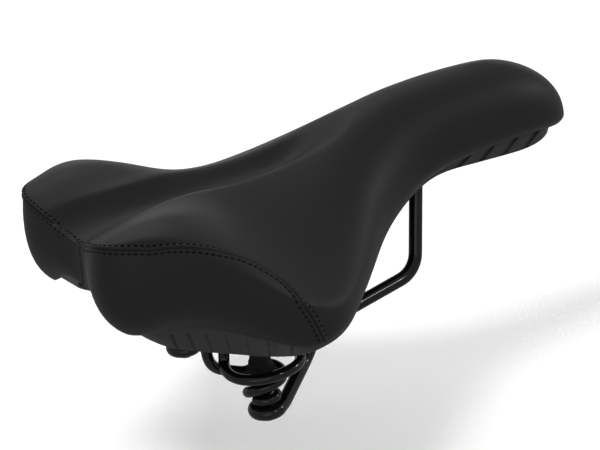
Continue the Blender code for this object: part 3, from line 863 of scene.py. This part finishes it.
def make_ribs(pan_tree):
    """Stiffening ribs on the pan's underside: cross ribs and two long ones, each a thin tapered wall."""
    routes = []
    for x, reach in RIB_REACH.items():
        routes.append([(x, y) for y in np.linspace(-reach, reach, 41)])
    for side in (-1, 1):
        routes.append([(x, side * (8 + 3.5 * math.cos(x / 40))) for x in np.linspace(-104, 30, 70)])
    points, faces = [], []
    for route in routes:
        count = len(route)
        ring = []
        for k, (x, y) in enumerate(route):
            before, after = route[max(k - 1, 0)], route[min(k + 1, count - 1)]
            along = unit(np.array([after[0] - before[0], after[1] - before[1], 0.0]))
            out = np.array([-along[1], along[0], 0])
            hit = pan_tree.ray_cast(Vector((x, y, -50)), Vector((0, 0, 1)))
            roof = hit[0].z if hit[0] is not None else 45
            depth = RIB_DEPTH * min(1, 6 * min(k, count - 1 - k) / count) + 0.05
            for width, rise in ((RIB_ROOT, 0.4), (RIB_TIP, -depth), (-RIB_TIP, -depth), (-RIB_ROOT, 0.4)):
                ring.append(np.array([x, y, roof + rise]) + out * width)
        faces += [tuple(v + len(points) for v in face) for face in sleeve_faces(count, 4)]
        points += ring
    mesh = closed_mesh("pan_ribs", points, faces)
    add("pan_ribs", mesh, PAN_PLASTIC, "seat", "pan_plastic")


# ---------------------------------------------------------------- wire work


def rounded(corners, step=5):
    """Polyline through corners given as (point, bend radius), with an arc at each inner corner."""
    points = [Vector(corners[0][0])]
    for (before, _), (corner, radius), (after, _) in zip(corners, corners[1:], corners[2:]):
        corner = Vector(corner)
        back = (Vector(before) - corner).normalized()
        ahead = (Vector(after) - corner).normalized()
        turn = math.pi - back.angle(ahead)
        reach = radius * math.tan(turn / 2)
        centre = corner + (back + ahead).normalized() * radius / math.cos(turn / 2)
        first = corner + back * reach - centre
        axis = first.cross(corner + ahead * reach - centre).normalized()
        count = max(2, round(math.degrees(turn) / step))
        for k in range(count + 1):
            points.append(centre + Matrix.Rotation(turn * k / count, 3, axis) @ first)
    points.append(Vector(corners[-1][0]))
    return points


def tube(name, line, radius, sides=24):
    """Closed tube along a line of points, with rounded ends. Its sides turn as little as they can."""
    line = np.array([list(p) for p in line], float)
    along = unit(np.gradient(line, axis=0))
    side = unit(np.cross(along[0], (0.3, 0.2, 1.0)))
    rings = []
    angles = np.linspace(0, 2 * math.pi, sides, endpoint=False)
    frames = []
    for point, forward in zip(line, along):
        side = unit(side - forward * side.dot(forward))
        frames.append((point, forward, side, np.cross(forward, side)))
    stops = [(0, -0.5, 0.86), (0, -0.15, 0.985)]
    stops += [(k, 0, 1) for k in range(len(line))]
    stops += [(len(line) - 1, 0.15, 0.985), (len(line) - 1, 0.5, 0.86)]
    for k, ahead, size in stops:
        point, forward, side, up = frames[k]
        centre = point + forward * ahead * radius * 0.3
        rings.append(centre + radius * size * (np.outer(np.cos(angles), side) + np.outer(np.sin(angles), up)))
    return closed_mesh(name, np.array(rings).reshape(-1, 3), sleeve_faces(len(rings), sides))


def filled(line, spacing):
    """Line with extra points on its long straight runs."""
    points = [line[0]]
    for before, after in zip(line, line[1:]):
        count = max(1, int((after - before).length / spacing))
        points += [before.lerp(after, k / count) for k in range(1, count + 1)]
    return points


def rail_half():
    """Centreline of the rail's left half, from the middle of the bow to the end of the eye round the foot."""
    run = Vector((FOOT[0] - LEG_KNEE[0], FOOT[1] - LEG_KNEE[1]))
    heading = math.atan2(run.y, run.x) - math.asin(EYE_RADIUS / run.length)
    along = Vector((math.cos(heading), math.sin(heading)))
    away = Vector((along.y, -along.x))
    centre = Vector(FOOT)
    touch = centre + away.to_3d() * EYE_RADIUS
    level_start = touch - along.to_3d() * 7
    corners = [
        ((BOW[0], 0, BOW[2]), 0),
        (BOW, BOW[1] - 0.05),
        (UPRIGHT_TOP, 13),
        (CLAMP_FRONT, 15),
        (CLAMP_REAR, 14),
        (LEG_KNEE, 14),
        (level_start, 14),
        (touch, 0),
    ]
    points = rounded(corners)
    steps = 44
    for k in range(1, steps + 1):
        angle = math.radians(EYE_WRAP) * k / steps
        offset = away * math.cos(angle) + along * math.sin(angle)
        points.append(centre + offset.to_3d() * EYE_RADIUS)
    return points


def make_rail():
    half = rail_half()
    other = [Vector((p.x, -p.y, p.z)) for p in half]
    line = filled(half[::-1] + other[1:], 3)
    add("rail", tube("rail", line, RAIL_RADIUS), POWDER, "undercarriage", "wire_black", "rail_wire")


def spring_line():
    """Centreline of the left spring as (angle, radius, height) about the foot's axis."""
    # The lower eye lies level, and the cone winds up from it.
    line = [(angle, 5.4, SPRING_EYE_Z) for angle in range(898, 657, -10)]
    for angle in range(648, 300, -10):
        rise = (658 - angle) / 360
        lift = 8.5 * float(smooth(rise * 1.7)) + 3.8 * rise**2
        line.append((angle, 5.4 + 2.9 * float(smooth(3 * rise)) + 3.2 * rise**2, SPRING_EYE_Z + lift))
    t = np.linspace(0, len(SPRING_ARMS) - 1, 6 * len(SPRING_ARMS))
    arms = np.stack([through(np.array([row[k] for row in SPRING_ARMS], float), t) for k in range(3)], -1)
    return line + [tuple(row) for row in arms]


def evened(line, spacing):
    """Line smoothed a little, with its points evenly spaced."""
    line = np.array([list(p) for p in line], float)
    for _ in range(2):
        line[1:-1] = 0.25 * line[:-2] + 0.5 * line[1:-1] + 0.25 * line[2:]
    length = lengths_of(line)
    return at_lengths(np.linspace(0, length[-1], int(length[-1] / spacing)), length, line)


def make_springs():
    for side, label in ((1, "left"), (-1, "right")):
        points = []
        for angle, radius, height in spring_line():
            turn = math.radians(angle)
            across = FOOT[1] + radius * math.sin(turn)
            points.append((FOOT[0] + radius * math.cos(turn), side * across, height))
        mesh = tube(f"coil_{label}", evened(points, 1.2), SPRING_WIRE, 20)
        made = add(f"coil_{label}", mesh, POWDER, None, "wire_black", f"spring_{label}")
        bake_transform(made)


# ---------------------------------------------------------------- turned and cut pieces


def fillet(profile, radius, steps=4):
    """Profile of (r, z) with its inner corners rounded."""
    points = [profile[0]]
    for before, corner, after in zip(profile, profile[1:], profile[2:]):
        a, c, b = (np.array(p, float) for p in (before, corner, after))
        reach = min(radius, 0.42 * np.linalg.norm(a - c), 0.42 * np.linalg.norm(b - c))
        start, end = c + unit(a - c) * reach, c + unit(b - c) * reach
        for k in range(steps + 1):
            w = k / steps
            points.append(tuple((1 - w) ** 2 * start + 2 * w * (1 - w) * c + w**2 * end))
    return points + [profile[-1]]


def turned(name, profile, place, finish, slot, body, *replaced, sides=48, radius=0.35, shape=None):
    """Solid of revolution about a vertical axis. shape(r, z, angle) may change the radius."""
    closed = profile[0][0] > 0
    if closed:
        profile = [profile[0], *profile[1:], profile[0]]
    profile = fillet(profile, radius)
    if closed:
        profile = profile[:-1]
    rings = []
    for r, z in profile:
        ring = []
        for k in range(sides):
            angle = 2 * math.pi * k / sides
            reach = shape(r, z, angle) if shape else r
            ring.append((place[0] + reach * math.cos(angle), place[1] + reach * math.sin(angle), z))
        rings.append(ring)
    points = [p for ring in rings for p in ring]
    faces = grid_faces(len(rings), sides, wrap=True)
    if closed:
        last = (len(rings) - 1) * sides
        faces += [(last + k, k, (k + 1) % sides, last + (k + 1) % sides) for k in range(sides)]
    mesh = closed_mesh(name, points, faces, merge=2e-6)
    return add(name, mesh, finish, body, slot, *replaced, smooth_angle=40)


def make_foot_hardware():
    """Rivets through the eyes, with a domed head above and a formed end over a washer below."""
    for side, label in ((1, "left"), (-1, "right")):
        place = (FOOT[0], side * FOOT[1])
        top = SPRING_EYE_Z + SPRING_WIRE
        low = FOOT[2] - RAIL_RADIUS - 0.3
        rivet = [
            (0, top + 3.6), (1.6, top + 3.55), (3.1, top + 3.1), (3.9, top + 2.3), (3.9, top + 1.7),
            (2.1, top + 0.3), (2.1, low - 1.1), (3.7, low - 1.1), (3.7, low - 1.6), (2.9, low - 2.2),
            (0, low - 2.2),
        ]
        turned(f"foot_rivet_{label}_fine", rivet, place, BLACK_STEEL, "steel_zinc", "undercarriage",
               f"foot_rivet_{label}", radius=0.3)
        washer = [(2.5, low), (5.3, low), (5.3, low - 0.8), (2.5, low - 0.8)]
        turned(f"foot_washer_{label}_fine", washer, place, BLACK_STEEL, "steel_zinc", "undercarriage",
               f"foot_washer_{label}", radius=0.2)


def make_bump_stops():
    """Waisted rubber stops with moulded rings, and the bolts that hold them."""
    low = BUMP_STOP_END
    stop = [
        (8.6, CARRIER_LOW - 0.3), (8.6, 21), (6.2, 17.5), (4.6, 12.5), (4.3, 9.5), (4.4, 7), (5.4, 2.5),
        (6.6, -0.6), (7.2, low + 1), (6.8, low), (4.3, low), (4.3, 0), (2.7, 0), (2.7, CARRIER_LOW - 0.3),
    ]

    def ringed(r, z, angle):
        """Moulded rings on the waist."""
        return r + (0.2 * math.cos(z * 2.6) if 1 < z < 20 and 4.3 < r < 8.2 else 0)

    bolt = [(0, 40), (2.1, 40), (2.1, -0.3), (3.8, -0.3), (3.8, -2), (2.8, -2.8), (0, -3)]
    for side, label in ((1, "left"), (-1, "right")):
        place = (FOOT[0], side * FOOT[1])
        turned(f"bump_rubber_{label}", stop, place, RUBBER, "rubber", "seat",
               f"bump_stop_{label}", radius=1.1, shape=ringed)
        turned(f"bump_bolt_{label}_fine", bolt, place, BLACK_STEEL, "steel_zinc", "seat",
               f"bump_bolt_{label}", radius=0.3, sides=36)


def bevelled_copy(node, name, finish, slot, width, segments=3):
    """Copy of a solid with its edges eased."""
    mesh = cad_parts[node].data.copy()
    mesh.name = name
    build = bmesh.new()
    build.from_mesh(mesh)
    bmesh.ops.remove_doubles(build, verts=build.verts, dist=1e-6)
    bmesh.ops.dissolve_limit(build, angle_limit=math.radians(0.5), verts=build.verts, edges=build.edges)
    sharp = [e for e in build.edges if len(e.link_faces) == 2 and e.calc_face_angle(0) > math.radians(35)]
    bmesh.ops.bevel(build, geom=sharp, offset=width * MM, segments=segments, profile=0.5, affect="EDGES",
                    clamp_overlap=True)
    build.to_mesh(mesh)
    build.free()
    return add(name, mesh, finish, "seat", slot, node, smooth_angle=40)


def make_bow_seat():
    """Block and plate that hold the rail's bow, the plate's screws, and the two spring carriers."""
    bevelled_copy("bow_block", "bow_block_fine", DARK_PLASTIC, "pan_plastic", 0.5)
    bevelled_copy("rail_clip", "rail_clip_fine", ZINC, "steel_zinc", 0.3)
    for label in ("left", "right"):
        carrier = f"spring_carrier_{label}"
        bevelled_copy(carrier, f"carrier_{label}_fine", DARK_PLASTIC, "pan_plastic", 0.35, segments=2)
    room, plate, gap = 0.5, 2.2, 0.3
    base = BOW[2] - RAIL_RADIUS - room - plate - gap
    high = BOW[2] + RAIL_RADIUS + room
    screw = [
        (0, high + 1.6), (1.4, high + 1.6), (1.4, base), (2.2, base), (2.2, base - 1.2), (1.5, base - 1.9),
        (0.8, base - 2.0), (0.7, base - 1.2), (0, base - 1.2),
    ]
    for name, x in (("rear", BOW[0] - 16), ("front", BOW[0] + 7.5)):
        turned(f"clip_screw_{name}_fine", screw, (x, 0), ZINC, "steel_zinc", "seat", f"clip_screw_{name}",
               radius=0.2, sides=32)


# ---------------------------------------------------------------- room, light and camera

CAMERA_PLACE = (-502.7, -997.2, 533.2)
CAMERA_TURN = (65.7716, 8.2465, -29.4906)  # degrees about X, Y and Z
CAMERA_LENS, CAMERA_SENSOR = 144.64, 36
FLOOR_DROP = 29  # clear height under the feet
FLOOR_GLOW = 0.46
STUDIO_GLOW = 0.34
LOW_GLOW = 0.3

# Softboxes, in metres: name, place, point it faces, width, height, brightness.
LIGHTS = [
    ("rear_card", (0.2, 1.15, 1.45), (0, 0, 0), 0.7, 0.6, 2.5),
    ("far_card", (0.75, 1.5, 0.12), (0, 0, 0.05), 1.8, 0.3, 0.7),
    ("key", (0.42, -1.25, 0.8), (0, 0, 0), 0.1, 0.1, 34.0),
    ("front_fill", (-0.9, -1.4, 0.25), (0, 0, 0.03), 1.4, 0.8, 0.5),
    ("right_card", (1.2, -0.42, 0.42), (0, 0, 0), 0.14, 0.14, 30.0),
]
OVER_FLOOR = ("over_floor", (-0.95, 0.2, 2.9), (0, 0, 0), 1.0, 1.0, 18.0)


def make_room():
    """White floor and studio: the camera sees them bright, and the saddle reflects a dimmer studio."""
    floor_z = CAD_BOX[0].z / MM - FLOOR_DROP
    size = 3500
    corners = [(-size, -size, floor_z), (size, -size, floor_z), (size, size, floor_z), (-size, size, floor_z)]
    mesh = mesh_from("floor", corners, [(0, 1, 2, 3)])
    finish, tree, shader = nodes_of("pale_floor")
    fix(shader, {"Base Color": grey(0.6), "Roughness": 1.0, "Specular IOR Level": 0.0})
    fix(shader, {"Emission Color": grey(1.0), "Emission Strength": FLOOR_GLOW})
    mesh.materials.append(finish)
    floor = bpy.data.objects.new("floor", mesh)
    bpy.context.scene.collection.objects.link(floor)
    floor.visible_diffuse = False
    floor.visible_glossy = False
    only_floor = bpy.data.collections.new("only_floor")
    only_floor.objects.link(floor)
    soft_light(*OVER_FLOOR).light_linking.receiver_collection = only_floor

    world = bpy.data.worlds.new("studio")
    world.use_nodes = True
    tree = world.node_tree
    seen = tree.nodes["Background"]
    seen.inputs["Color"].default_value = grey(1.0)
    dim = tree.nodes.new("ShaderNodeBackground")
    dim.inputs["Color"].default_value = grey(1.0)
    height = tree.nodes.new("ShaderNodeSeparateXYZ")
    link(tree, tree.nodes.new("ShaderNodeTexCoord").outputs["Generated"], height.inputs["Vector"])
    glow = tree.nodes.new("ShaderNodeMapRange")
    fix(glow, {"From Min": -0.5, "From Max": 0.1, "To Min": LOW_GLOW, "To Max": STUDIO_GLOW})
    link(tree, height.outputs["Z"], glow.inputs["Value"])
    link(tree, glow.outputs["Result"], dim.inputs["Strength"])
    path = tree.nodes.new("ShaderNodeLightPath")
    choice = tree.nodes.new("ShaderNodeMixShader")
    link(tree, path.outputs["Is Camera Ray"], choice.inputs["Fac"])
    link(tree, dim.outputs["Background"], choice.inputs[1])
    link(tree, seen.outputs["Background"], choice.inputs[2])
    link(tree, choice.outputs["Shader"], tree.nodes["World Output"].inputs["Surface"])
    bpy.context.scene.world = world


def soft_light(name, place, aim, width, height, brightness):
    """Rectangular softbox; its brightness is the radiance of its face."""
    data = bpy.data.lights.new(name, "AREA")
    data.shape = "RECTANGLE"
    data.size = width
    data.size_y = height
    data.energy = brightness * math.pi * width * height
    made = bpy.data.objects.new(name, data)
    bpy.context.scene.collection.objects.link(made)
    made.location = Vector(place)
    made.rotation_euler = (Vector(aim) - Vector(place)).to_track_quat("-Z", "Y").to_euler()
    return made


def make_camera():
    data = bpy.data.cameras.new("camera")
    data.sensor_width = CAMERA_SENSOR
    data.lens = CAMERA_LENS
    made = bpy.data.objects.new("camera", data)
    bpy.context.scene.collection.objects.link(made)
    made.location = Vector(CAMERA_PLACE) * MM
    made.rotation_euler = [math.radians(angle) for angle in CAMERA_TURN]
    bpy.context.scene.camera = made
    bpy.context.scene.view_settings.view_transform = "Standard"


make_camera()
make_room()
for light in LIGHTS:
    soft_light(*light)
make_cover_top()
make_rear_panels()
make_seam()
make_foam()
make_ribs(make_pan())
make_rail()
make_springs()
make_foot_hardware()
make_bump_stops()
make_bow_seat()
